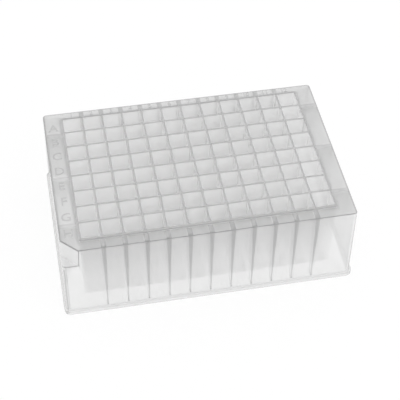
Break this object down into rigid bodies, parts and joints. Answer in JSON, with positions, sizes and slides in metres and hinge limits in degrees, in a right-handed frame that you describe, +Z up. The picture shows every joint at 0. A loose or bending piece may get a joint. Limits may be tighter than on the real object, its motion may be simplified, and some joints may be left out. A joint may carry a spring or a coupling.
{
  "type": "well plate",
  "caption": "Deep-well microplate: a grid of square, tapered, round-bottomed wells in one moulded block, hung in a drafted skirt with a base flange and a coding notch.",
  "frame": {"origin": "centre of the base's rectangle, on the plane that the plate stands on", "axes": "+Z up, out of the wells; +X along the rows, from column 1 to column 12; +Y across the rows, towards row A. The coding notch is at the corner where X and Y are negative"},
  "size_m": [0.1278, 0.0854, 0.0412],
  "materials": {
    "polypropylene": "natural, unpigmented polypropylene as moulded: milky and see-through, with a satin surface"
  },
  "bodies": {
    "root": {"well_plate": "polypropylene"}
  },
  "joints": []
}
